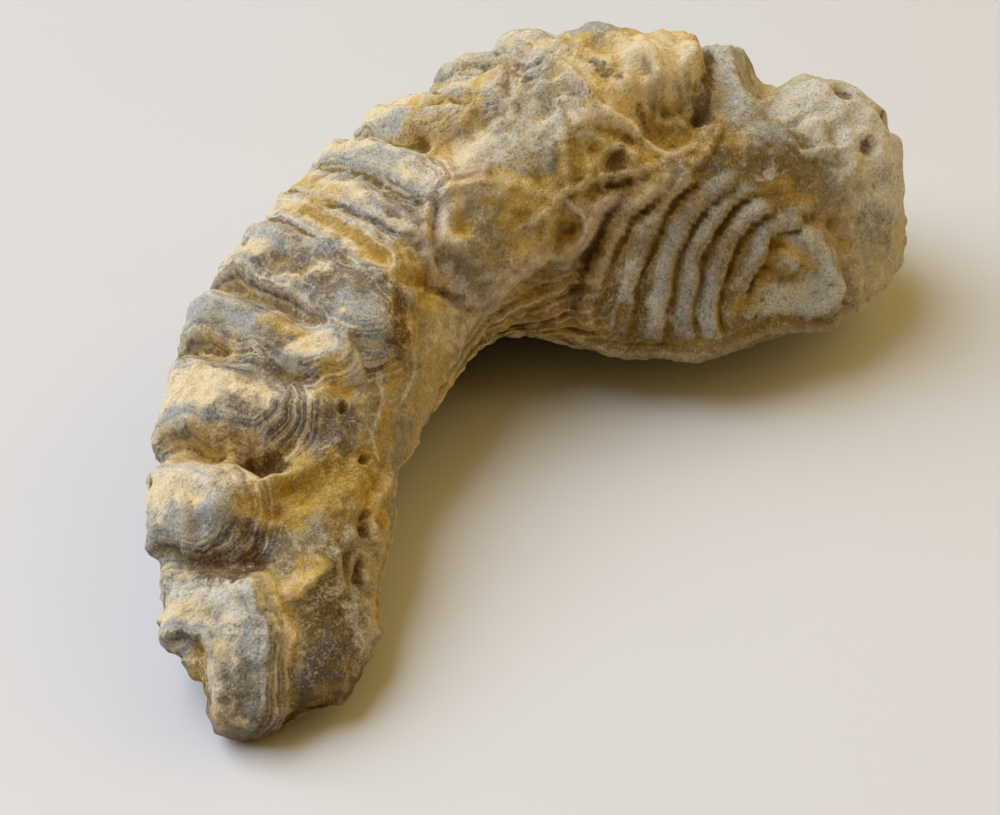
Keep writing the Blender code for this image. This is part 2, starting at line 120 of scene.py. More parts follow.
# Each fold: its middle line from the outer margin to its nose, reach to either side, rise.
folds = [
    ([(168, 606), (195, 606), (222, 612), (238, 640), (240, 680), (238, 712)], 3.4, 1.7),
    ([(150, 505), (180, 505), (196, 507)], 4.4, 2.6),
    ([(160, 395), (205, 390), (252, 405)], 4.4, 2.2),
    ([(185, 302), (240, 322), (306, 352)], 3.6, 2.0),
    ([(232, 245), (285, 262), (345, 292), (362, 316)], 4.0, 2.1),
    ([(275, 206), (325, 220), (378, 258)], 2.4, 1.4),
    ([(300, 176), (350, 190), (405, 222)], 2.2, 1.2),
    ([(325, 148), (372, 155), (420, 175)], 2.6, 1.4),
    ([(362, 114), (405, 116), (440, 110)], 2.4, 1.5),
    ([(400, 84), (445, 86), (490, 84)], 2.2, 1.3),
    ([(470, 52), (505, 52), (540, 52)], 3.0, 1.3),
]
foldBase = 0.7  # taken off all over, so that the furrows lie below the body
banding = {"spacing": 1.5, "step": 0.15}

# Drawn lines: what is seen, half width, height (negative cuts in).
strokes = {
    "orangeFurrow": ([(298, 196), (340, 222), (380, 252), (440, 287), (478, 305)], 1.7, -0.8),
    "furrowBelowFoldB": ([(185, 552), (225, 556), (262, 535)], 3, -2),
    "furrowAboveFoldB": ([(168, 447), (215, 458), (243, 480), (254, 505)], 2, -1.2),
    "slitTwo": ([(236, 451), (254, 455), (272, 451)], 1, -1.6),
    "slitThree": ([(262, 466), (282, 462)], 0.8, -0.9),
    "ochreFurrow": ([(254, 500), (282, 489), (312, 480), (345, 470)], 1.5, -1),
    "grooveFG": ([(270, 584), (296, 571), (318, 560)], 1, -0.8),
    "ridgeFG": ([(246, 593), (284, 590), (304, 575), (330, 555)], 1.4, 0.9),
    "tipGroove": ([(188, 642), (198, 662), (200, 690), (204, 712)], 1.2, -1.3),
    "tipLedge": ([(172, 634), (184, 648), (192, 668), (196, 690)], 0.8, 0.8),
    "voidOne": ([(372, 512), (371, 528)], 0.6, -0.9),
    "voidTwo": ([(366, 560), (369, 585)], 0.7, -0.9),
    "voidThree": ([(352, 548), (356, 575)], 0.9, -0.9),
    "paleCrack": ([(402, 472), (384, 497), (376, 520), (383, 545)], 0.8, 0.8),
    "rimLine": ([(359, 530), (352, 545), (340, 553), (348, 566), (346, 590)], 0.6, 0.5),
    "valleyOne": ([(170, 445), (205, 440), (250, 445), (300, 436)], 2.4, -2),
    "valleyTwo": ([(178, 352), (215, 352), (262, 375), (300, 385)], 1.6, -1.6),
    "valleyThree": ([(212, 283), (245, 290), (290, 308), (318, 326)], 1.6, -1.8),
    "valleyFour": ([(262, 222), (310, 236), (352, 262), (380, 290)], 1.2, -1),
    "valleyFive": ([(310, 163), (350, 172), (400, 198)], 1.2, -1.2),
    "valleySix": ([(345, 130), (380, 134), (425, 145)], 1.2, -1.2),
    "valleySeven": ([(385, 98), (425, 101), (470, 99)], 1.2, -1.2),
    "valleyEight": ([(428, 69), (470, 72), (515, 68)], 1.1, -1.1),
    "valleyNine": ([(470, 43), (520, 46), (560, 40)], 1.1, -1),
    "bulb": ([(598, 74), (628, 64), (650, 62)], 6.2, 2.2),
    "bulbHollow": ([(640, 118), (672, 120), (700, 98)], 2.6, -1.8),
    "dome": ([(704, 54), (722, 62), (736, 82), (748, 106)], 5, 1.2),
    "bulbTop": ([(594, 38), (620, 34), (640, 37)], 3.6, 1.2),
    "notch": ([(756, 64), (764, 74), (773, 88), (786, 106)], 3, -3.6),
    "knob": ([(812, 100), (838, 100), (870, 130), (888, 175)], 5.4, 1.9),
    "bulbCliff": ([(700, 36), (716, 60), (724, 90), (720, 118), (706, 146)], 1.8, -1.3),
    "flankFoot": ([(640, 182), (612, 222), (590, 262), (570, 310)], 1.6, -1.2),
    "purpleHollow": ([(270, 266), (312, 262)], 1.9, -1.5),
    "pinkRim": ([(484, 163), (453, 175), (433, 195), (426, 222), (429, 246), (443, 273), (465, 295),
        (484, 307), (497, 299), (516, 278), (536, 263), (552, 257)], 0.5, 0.6),
    "pinkGroove": ([(405, 250), (438, 281), (470, 303), (488, 315)], 0.8, -0.7),
    "plateGroove": ([(442, 196), (437, 222), (440, 246), (452, 268), (472, 290)], 0.8, -0.6),
    "rimTop": ([(436, 200), (455, 187), (484, 178), (486, 160)], 0.45, 0.35),
    "yRidge": ([(516, 231), (538, 224), (558, 206), (567, 192)], 0.4, 0.3),
    "tongueRidge": ([(565, 200), (584, 215), (588, 238), (578, 254), (556, 262)], 0.4, 0.45),
    "leftStrand": ([(531, 54), (516, 61), (502, 78), (497, 95), (509, 108), (516, 120)], 0.6, 0.6),
    "leftStrandInner": ([(526, 66), (512, 78), (508, 92)], 0.6, -0.6),
    "creamStrand": ([(536, 61), (560, 73), (582, 90), (599, 110), (635, 122), (655, 137),
        (668, 150)], 0.55, 0.7),
    "creamGroove": ([(572, 90), (588, 108), (604, 122), (640, 138)], 0.8, -0.8),
    "innerStrand": ([(540, 86), (556, 104), (562, 125), (566, 160), (570, 190)], 0.5, 0.35),
    "innerStrandTwo": ([(536, 90), (550, 90), (562, 82)], 0.5, 0.7),
    "bulbLip": ([(652, 94), (684, 82), (691, 62), (682, 42), (668, 32)], 0.9, 0.7),
    "bulbUnder": ([(648, 100), (684, 92), (700, 76)], 1, -0.9),
    "bulbEdge": ([(718, 98), (714, 118), (696, 143), (667, 152), (652, 135)], 0.5, 0.5),
    "redSlit": ([(611, 187), (622, 185), (632, 180)], 0.4, -0.6),
    "underStrand": ([(570, 188), (600, 178), (640, 172), (668, 158)], 0.45, 0.5),
    "foot": ([(588, 150), (592, 170), (584, 190)], 0.45, 0.5),
    "ring": ([(337, 404), (339, 397), (346, 394), (352, 398), (353, 405), (347, 411), (340, 410),
        (337, 404)], 0.3, 0.35),
    "ringTwo": ([(367, 455), (371, 448), (379, 449), (381, 457), (375, 462), (368, 460)], 0.3, 0.3),
    "knobStreak": ([(804, 153), (825, 150), (843, 147)], 0.6, 0.8),
    "knobStep": ([(790, 118), (822, 112), (836, 126), (838, 150)], 0.8, -0.7),
    "knobStepTwo": ([(736, 168), (738, 128), (770, 116)], 0.8, -0.5),
    "eyeArc": ([(776, 250), (786, 244), (802, 252), (806, 266)], 0.7, -0.35),
    "eyeFoot": ([(774, 274), (788, 280), (806, 276)], 0.9, -0.4),
    "eyeSlotOne": ([(806, 216), (826, 222), (848, 228)], 0.8, -0.66),
    "eyeSlotTwo": ([(826, 240), (842, 246), (856, 246)], 0.9, -0.54),
    "lobeRim": ([(583, 346), (618, 354), (645, 359), (676, 361), (716, 352), (769, 333), (826, 327),
        (860, 309)], 0.8, 0.9),
    "lobeStep": ([(846, 270), (850, 296), (838, 316)], 0.9, -0.8),
}

# The arching plates on the wall, from the arm to the beak. Each is the line of its crest:
# a slow rise on the side away from the eye and a quick drop towards it. Then its width, height and greyness.
eyePlace = (790, 262)
archPlates = [
    ([(533, 340), (548, 306), (566, 272), (584, 246)], 1, 0.5, 0),
    ([(552, 328), (559, 302), (576, 274), (590, 245), (597, 228), (607, 207), (620, 192)], 1.1, 0.8, 0.1),
    ([(588, 340), (591, 310), (600, 285), (606, 262), (618, 232), (632, 214), (645, 205), (660, 185),
      (672, 168), (680, 154)], 1.6, 1.2, 0.2),
    ([(606, 342), (612, 315), (618, 290)], 0.8, 0.4, 0),
    ([(622, 345), (630, 302), (635, 279), (645, 252), (654, 229), (661, 212), (673, 195), (692, 181),
      (706, 173)], 1.9, 1.4, 0.45),
    ([(654, 354), (661, 331), (666, 305), (670, 283), (673, 264), (681, 245), (688, 226), (700, 209),
      (716, 193), (735, 179), (754, 171)], 2.1, 1.4, 0.75),
    ([(689, 356), (691, 331), (691, 305), (693, 283), (697, 264), (705, 243), (716, 222), (733, 205),
      (748, 195), (770, 188)], 2.1, 1.4, 0.9),
    ([(718, 350), (715, 317), (717, 293), (721, 274), (729, 254), (738, 240), (750, 226), (764, 214),
      (782, 205)], 2.1, 1.4, 0.9),
    ([(742, 302), (748, 285), (755, 268), (763, 252), (773, 236), (790, 223), (808, 214),
      (822, 213)], 1.9, 1.2, 1),
    ([(752, 322), (757, 306), (764, 294)], 1, 0.7, 0.8),
]
boomerang = ([(800, 234), (811, 232), (820, 248), (832, 264), (836, 282), (826, 304)], 1.5, 1.1)
plateShape = {"reach": 6.0, "height": 0.75, "gully": 0.40}

# What lies behind the top edge: where along and around, then width and height.
behind = [
    ([(0.850, 0.270), (0.874, 0.225), (0.898, 0.175), (0.918, 0.110)], 2.8, -2.4),
    ([(0.820, 0.212), (0.852, 0.185)], 4.5, 1.8),
]

# Round hollows (or lumps, where the depth is negative): where they are seen, radius, depth.
hollows = [
    (463, 222, 1.6, 0.9), (570, 238, 2.2, 1.8), (452, 140, 4.6, 1.3), (430, 125, 2, 0.8),
    (619, 158, 1.6, 1.5), (600, 140, 2.6, 1.2), (590, 148, 1.6, 0.8), (707, 102, 1.3, 1.8),
    (680, 122, 3.4, 1.6), (840, 100, 1.5, 1.3), (882, 124, 1.5, 1.2), (866, 150, 1.2, 1.4),
    (153, 490, 0.8, 1.2), (347, 405, 0.9, 0.7), (375, 455, 1.3, 0.7), (350, 447, 1.2, 0.5),
    (196, 140, 1, 0.5), (343, 380, 2, 0.6), (548, 105, 1.5, 0.9), (640, 75, 3, -1), (655, 60, 4.5, -1.2),
    (211, 724, 2.6, -1.2), (872, 108, 4, -0.7), (795, 140, 3.5, -0.8), (357, 318, 3, -0.9),
    (600, 185, 1.8, 0.9), (540, 190, 2.6, 0.7), (690, 200, 1.2, -0.4), (872, 175, 2.4, 0.8),
    (159, 620, 0.5, -0.6), (310, 720, 4, 0.8), (790, 262, 1.9, -1.3), (872, 292, 4.5, -1),
    (832, 308, 4.5, -1.4),
]


def curveThrough(a, b, c, d, f):  # Catmull-Rom between b and c
    return (b + 0.5 * f * (c - a) + f**2 * (a - 2.5 * b + 2 * c - 0.5 * d)
            + f**3 * (1.5 * b - 0.5 * a - 1.5 * c + 0.5 * d))


def valueAt(values, along):  # smooth curve through the stations
    values = np.asarray(values, float)
    last = len(values) - 1
    held = np.concatenate([[2 * values[0] - values[1]], values, [2 * values[last] - values[last - 1]]])
    x = np.clip(along, 0, 1) * last
    i = np.minimum(x.astype(int), last - 1)
    f = (x - i)[:, None] if values.ndim > 1 else x - i
    return curveThrough(held[i], held[i + 1], held[i + 2], held[i + 3], f)


def ringValue(columns, around):  # smooth closed curve round the section
    columns = np.stack(columns, 1)
    count = columns.shape[1]
    x = (around % 1) * count
    i = x.astype(int) % count
    row = np.arange(len(around))
    return curveThrough(*(columns[row, (i + k) % count] for k in (-1, 0, 1, 2)), x - np.floor(x))


def ease(low, high, x):
    k = np.clip((x - low) / (high - low), 0, 1)
    return k * k * (3 - 2 * k)


def fade(low, high, x):
    return 1 - ease(low, high, x)


def hump(distance, radius):
    return np.clip(1 - (distance / radius) ** 2, 0, 1) ** 2


def lumps(points, size, seed):  # smooth noise, -1 to 1, lumps of about this size
    q = points / size + seed * 7.31
    cell = np.floor(q)
    f = q - cell
    f = f * f * (3 - 2 * f)
    total = np.zeros(len(points))
    for corner in product((0, 1), repeat=3):
        h = np.sin((cell + corner) @ (12.9898, 78.233, 37.719)) * 43758.5453
        weight = np.prod(np.where(corner, f, 1 - f), axis=1)
        total += weight * (2 * (h - np.floor(h)) - 1)
    return total


def addObject(name, data):
    obj = bpy.data.objects.new(name, data)
    scene.collection.objects.link(obj)
    return obj


def newMaterial(name):
    material = bpy.data.materials.new(name)
    material.use_nodes = True
    return material


def uneven(s, kind, moreSeed=0):
    height, size, seed = lumpy[kind]
    return height * lumps(s.points, size, seed + moreSeed)


def roughness(points, size, seed, layers=3):
    return sum(lumps(points, size / 2**k, seed + k) / 2**k for k in range(layers))


def capShare(along):  # what is left of the section near the two rounded ends
    tip = np.sqrt(np.clip(1 - (1 - along / shell["tipCap"]) ** 2, 0, 1))
    beak = np.sqrt(np.clip(1 - (1 - (1 - along) / shell["beakCap"]) ** 2, 0, 1))
    return np.where(along < shell["tipCap"], tip, np.where(along > 1 - shell["beakCap"], beak, 1.0))


def bareShell(along, around):
    centre = valueAt(shell["spine"], along)
    heading = np.radians(valueAt(shell["heading"], along))
    sizes = ("outerWidth", "innerWidth", "crestHeight", "outerMarginHeight", "innerMarginHeight")
    outer, inner, crest, outerMargin, innerMargin = (valueAt(shell[name], along) for name in sizes)
    # outer margin, outer shoulder, crest, inner shoulder, inner margin, inner foot, keel, outer foot
    across = [outer, 0.86 * outer, 0.10 * outer, -0.66 * inner,
              -inner, -0.34 * inner, 0.15 * outer, 0.62 * outer]
    height = [outerMargin, 0.72 * crest + 0.28 * outerMargin, crest, 0.80 * crest + 0.2 * innerMargin,
              innerMargin, 0.2 * innerMargin, 0 * crest, 0.12 * outerMargin]
    share = capShare(along)
    middle = 0.45 * crest
    x = ringValue(across, around) * share
    z = middle + (ringValue(height, around) - middle) * share
    below = ease(0.505, 0.56, around) * fade(0.62, 0.74, around)
    x += valueAt(shell["undercut"], along) * below * share
    return np.stack([centre[:, 0] - np.sin(heading) * x, centre[:, 1] + np.cos(heading) * x, z], 1)


def outward(along, around):  # unit normals of the bare shell
    step = 2e-3
    ahead = (bareShell(np.clip(along + step, 0.002, 0.998), around)
             - bareShell(np.clip(along - step, 0.002, 0.998), around))
    aside = bareShell(along, around + step) - bareShell(along, around - step)
    normal = np.cross(aside, ahead)
    return normal / (np.linalg.norm(normal, axis=1, keepdims=True) + 1e-9)


def place(along, around):
    return bareShell(np.array([float(along)]), np.array([float(around)]))[0]


def seenAt(points):  # where points show in the frame, and how far they are
    turn, tilt = math.radians(view["azimuth"]), math.radians(view["elevation"])
    right = np.array([math.cos(turn), math.sin(turn), 0])
    ahead = np.array([-math.sin(turn) * math.cos(tilt), math.cos(turn) * math.cos(tilt), -math.sin(tilt)])
    up = np.cross(right, ahead)
    d = points - np.array(view["place"])
    far = d @ ahead
    x = view["middle"][0] + view["focus"] * (d @ right) / far
    y = view["middle"][1] - view["focus"] * (d @ up) / far
    return np.stack([x, y], 1), far


def makeSightMap():  # the shell's near side, so that what is seen can be found on it
    grid = np.meshgrid(np.linspace(0.003, 0.997, 420), np.arange(300) / 300, indexing="ij")
    along, around = (g.ravel() for g in grid)
    bare = bareShell(along, around)
    normal = outward(along, around)
    formed = bare + normal * baseRelief(survey(along, around))[:, None]
    facing = ((np.array(view["place"]) - formed) * normal).sum(1) > 0
    seen, far = seenAt(formed)
    return SimpleNamespace(bare=bare[facing], seen=seen[facing], far=far[facing],
                           along=along[facing], around=around[facing])


def sighted(pixel):  # of the places seen there, the nearest to the camera
    away = np.linalg.norm(sightMap.seen - np.array(pixel, float), axis=1)
    near = np.flatnonzero(away < max(3.0, away.min() + 0.5))
    return near[np.argmin(sightMap.far[near] + 0.3 * away[near])]


def onShell(pixel):
    return sightMap.bare[sighted(pixel)]


def lineDistance(points, corners):  # distance in mm, the share of the line passed, the way from the line
    corners = np.array(corners)
    lengths = np.linalg.norm(np.diff(corners, axis=0), axis=1)
    before = np.concatenate([[0], np.cumsum(lengths)])
    nearest = np.full(len(points), 1e9)
    passed = np.zeros(len(points))
    away = np.zeros(points.shape)
    for a, b, length, start in zip(corners, corners[1:], lengths, before):
        run = b - a
        share = np.clip((points - a) @ run / (run @ run), 0, 1)
        offset = points - a - share[:, None] * run
        distance = np.linalg.norm(offset, axis=1)
        closer = distance < nearest
        passed = np.where(closer, (start + share * length) / before[-1], passed)
        away = np.where(closer[:, None], offset, away)
        nearest = np.minimum(nearest, distance)
    return nearest, passed, away


def drawn(points, pixels):
    return lineDistance(points, [onShell(pixel) for pixel in pixels])


def ribCount(along, around):  # a whole number in each furrow
    slanted = along + valueAt(ribbing["slant"], along) * np.clip(((around + 0.3) % 1) - 0.4, 0, 0.3)
    return np.interp(slanted, ribbing["furrows"], range(len(ribbing["furrows"])))


def ribRelief(s):  # the ribs that no drawn fold stands for
    profile = np.abs(np.sin(math.pi * s.count)) ** 0.75 - 0.6
    upper = fade(0.15, 0.31, s.around)
    lower = ease(0.80, 0.90, s.around)
    height = valueAt(ribbing["height"], s.along) * (1 + uneven(s, "ribHeight"))
    byHand = fade(0.50, 0.58, s.along)
    topSide = ease(0.02, 0.08, s.around) * (s.around < 0.5)
    shoulder = np.where(s.around < 0.5, upper, lower)
    return height * profile * shoulder * (1 - ribbing["byHand"] * byHand * topSide)


def seamRelief(s):  # zigzag seam between the valves
    count = ribCount(s.along, np.zeros_like(s.around))
    zigzag = 2 * np.abs(count - np.round(count)) - 0.5
    offset = ((s.around + 0.5) % 1) - 0.5 + seam["offset"] + seam["swing"] * zigzag
    s.seamward = np.abs(offset) * s.girth
    reach = ease(0.02, 0.08, s.along) * fade(0.80, 0.92, s.along)
    return -seam["depth"] * np.exp(-((offset / seam["width"]) ** 2)) * reach


def flankRelief(s):  # step down at the rim of the top mass, and the layers below it
    past = s.pastRim
    inside = fade(0.52, 0.56, s.around) * (s.around > 0.2)
    reach = ease(0.34, 0.44, s.along) * fade(0.775, 0.80, s.along)
    step = -flank["step"] * ease(-0.6, 0.6, past) * fade(5, 14, past)
    layers = flank["layerHeight"] * np.sin(math.tau * past / flank["layerSpacing"]) * ease(0.5, 2, past)
    return (step + layers * fade(0.58, 0.66, s.along)) * reach * inside


def plateauRelief(s):  # raised plate with a thick rim and a dished middle
    corners = np.array(plateau["corners"]) * plateau["scale"]
    x, y = s.along * plateau["scale"][0], s.around * plateau["scale"][1]
    inside = np.full(len(x), 1e9)
    for (ax, ay), (bx, by) in zip(corners, np.roll(corners, -1, 0)):
        off = ((by - ay) * (x - ax) - (bx - ax) * (y - ay)) / math.hypot(bx - ax, by - ay)
        inside = np.minimum(inside, off)
    rise = ease(-0.8, 0.8, inside)
    dish = ease(plateau["edge"], 2.5 * plateau["edge"], inside)
    return plateau["rise"] * rise - plateau["dish"] * dish


def swellingRelief(s):
    sides = ease(0.10, 0.20, s.around) * fade(0.34, 0.40, s.around)
    start = ease(swelling["start"] - 0.10, swelling["start"], s.along)
    end = fade(swelling["end"] - 0.015, swelling["end"] + 0.015, s.along)
    return swelling["rise"] * start * end * sides


def foldLine(pixels):  # the drawn line, carried on over the back of the shell to the seam
    first = sighted(pixels[0])
    along, around = sightMap.along[first], sightMap.around[first]
    rib = ribCount(np.array([along]), np.array([around]))[0]
    carried = []
    for back in np.linspace(seam["offset"], around, 5)[:-1]:
        choices = np.linspace(max(along - 0.06, 0.005), min(along + 0.06, 0.995), 61)
        turns = ribCount(choices, np.full(61, back))
        carried.append(place(choices[np.argmin(np.abs(turns - rib))], back))
    return carried + [onShell(pixel) for pixel in pixels]


def foldRelief(s):
    total = np.zeros(len(s.points))
    s.nest = np.full(len(s.points), 99.0)  # mm from the nearest fold's middle line
    nearest = np.full(len(s.points), 99.0)
    s.tipSide = np.zeros(len(s.points))  # 1 on the side of a fold that faces the tip
    heading = np.radians(valueAt(shell["heading"], s.along))
    for number, (pixels, reach, rise) in enumerate(folds):
        distance, passed, away = lineDistance(s.points, foldLine(pixels))
        tipward = -(away[:, 0] * np.cos(heading) + away[:, 1] * np.sin(heading))
        tipSide = ease(-0.3, 0.6, tipward / reach)
        distance = distance + uneven(s, "fold", number) + uneven(s, "foldEdge")
        share = np.maximum(distance / reach, 0)
        dished = 0.80 + 0.20 * ease(0.1, 0.8, share)
        nose = ease(0.90, 1.0, passed)
        edge = fade(0.75 - 0.20 * nose, 1.55 - 0.40 * tipSide + 0.65 * nose, share)
        total = np.maximum(total, rise * dished * edge)
        closer = share < nearest
        s.nest = np.where(closer, distance + 1.3 * number, s.nest)
        s.tipSide = np.where(closer, tipSide, s.tipSide)
        nearest = np.where(closer, share, nearest)
    s.nestShare = nearest
    s.onFold = fade(1.3, 1.9, nearest)
    atMargin = 0.45 + 0.55 * ease(0.02, 0.14, (s.around + 0.5) % 1 - 0.5)
    return (total - foldBase) * atMargin


def drawnRelief(s):
    total = np.zeros(len(s.points))
    wobble = uneven(s, "line")
    for pixels, width, height in list(strokes.values()) + [boomerang]:
        distance, passed, _ = drawn(s.points, pixels)
        taper = ease(-0.08, 0.12, passed) * fade(0.88, 1.08, passed)
        total += height * hump(np.maximum(distance + wobble * width, 0), 1.6 * width) * (0.4 + 0.6 * taper)
    for places, width, height in behind:
        distance = lineDistance(s.points, [place(*where) for where in places])[0]
        total += height * hump(distance + wobble * width, 1.6 * width)
    for x, y, radius, depth in hollows:
        distance = np.linalg.norm(s.points - onShell((x, y)), axis=1)
        total -= depth * hump(np.maximum(distance + 0.6 * wobble * radius, 0), 1.3 * radius)
    return total


def plateRelief(s):  # plate is 1 on a grey face, crest on its edge, gully past it
    total = np.zeros(len(s.points))
    s.plate, s.crest, s.gully = total.copy(), total.copy(), total.copy()
    eye = onShell(eyePlace)
    wander = uneven(s, "plate") + uneven(s, "plateEdge")
    strength = 0.75 + uneven(s, "plateHeight")
    patches = 0.85 + uneven(s, "plateGrey")
    for pixels, width, height, grey in archPlates:
        distance, passed, away = drawn(s.points, pixels)
        inward = (away * (eye - (s.points - away))).sum(1) > 0
        side = np.where(inward, distance, -distance) + wander
        ends = ease(0.0, 0.10, passed) * fade(0.86, 1.0, passed) * (distance < plateShape["reach"])
        face = ease(-1.25 * width, -0.25 * width, side) * fade(-0.15, 1.05, side)
        total = np.maximum(total, plateShape["height"] * height * strength * face * ends)
        faceMask = ease(-1.0 * width, -0.6 * width, side) * fade(-0.15, 0.15, side)
        s.plate = np.maximum(s.plate, grey * faceMask * ends * patches)
        s.crest = np.maximum(s.crest, hump(side - 0.10, 0.50) * ends)
        s.gully = np.maximum(s.gully, ease(0.20, 0.9, side) * fade(1.0, 1.7, side) * ends)
    return total - plateShape["gully"] * s.gully


def survey(along, around):  # everything the reliefs and the colours are worked out from
    points = bareShell(along, around)
    girth = (1.6 * (valueAt(shell["outerWidth"], along) + valueAt(shell["innerWidth"], along))
             + 1.4 * valueAt(shell["crestHeight"], along))
    rim = np.array(flank["rim"])
    s = SimpleNamespace(along=along, around=around, points=points, girth=girth)
    s.pastRim = (around - np.interp(along, rim[:, 0], rim[:, 1])) * girth
    s.count = ribCount(along, around) + uneven(s, "ribCourse")
    s.outerSide = np.where(around < 0.5, fade(0.24, 0.32, around), ease(0.86, 0.92, around))
    return s


def baseRelief(s):
    relief = ribRelief(s) + seamRelief(s) + flankRelief(s) + plateauRelief(s) + swellingRelief(s)
    return relief + uneven(s, "body")


def formRelief(s):
    relief = baseRelief(s) + foldRelief(s) + drawnRelief(s) + plateRelief(s)
    return relief + uneven(s, "skin")


def fineRelief(s):  # growth steps, crags and grain
    points = s.points
    phase = s.nest / banding["spacing"]
    shingle = (phase - np.floor(phase)) ** 1.5 - 0.4
    patchiness = 0.6 + uneven(s, "steps")
    steps = banding["step"] * shingle * patchiness * s.onFold * ease(0.3, 0.7, s.nestShare)
    growth = (s.seamward + uneven(s, "growth") + uneven(s, "growthEdge")) / 1.9
    backSteps = 0.26 * ((growth - np.floor(growth)) ** 1.5 - 0.4) * patchiness * s.outerSide
    crags = 0.34 * (np.abs(roughness(points, 3.4, 31)) - 0.35)
    return steps + backSteps + crags + 0.24 * roughness(points, 1.7, 37, 2) + uneven(s, "grain")


def buildShell():
    rings, corners = shell["rings"], shell["corners"]
    ring = np.arange(1, rings) / rings
    corner = np.arange(corners) / corners
    corner = corner - shell["denserOnTop"] * np.sin(math.tau * (corner - 0.28)) / math.tau
    along, around = (g.ravel() for g in np.meshgrid(ring, corner % 1, indexing="ij"))
    s = survey(along, around)
    s.relief = (formRelief(s) + fineRelief(s)) * np.minimum(1, 3 * capShare(along))
    points = s.points + outward(along, around) * s.relief[:, None]
    points[:, 2] = np.maximum(points[:, 2], 0)
    tips = [points[:corners].mean(0), points[-corners:].mean(0)]
    index = np.arange(len(points)).reshape(rings - 1, corners)
    near, far = index[:-1], index[1:]
    quads = np.stack([near, far, np.roll(far, -1, 1), np.roll(near, -1, 1)], -1).reshape(-1, 4)
    tipFan = [(len(points), index[0, j], index[0, (j + 1) % corners]) for j in range(corners)]
    beakFan = [(len(points) + 1, index[-1, (j + 1) % corners], index[-1, j]) for j in range(corners)]
    mesh = bpy.data.meshes.new("fossilShell")
    mesh.from_pydata((np.vstack([points, tips]) * mm).tolist(), [], quads.tolist() + tipFan + beakFan)
    mesh.update()
    mesh.shade_smooth()
    return mesh, s


def addMask(name, values):
    layer = mesh.attributes.new(name, "FLOAT", "POINT")
    tips = np.array([values[: shell["corners"]].mean(), values[-shell["corners"]:].mean()])
    layer.data.foreach_set("value", np.concatenate([values, tips]).astype(np.float32))
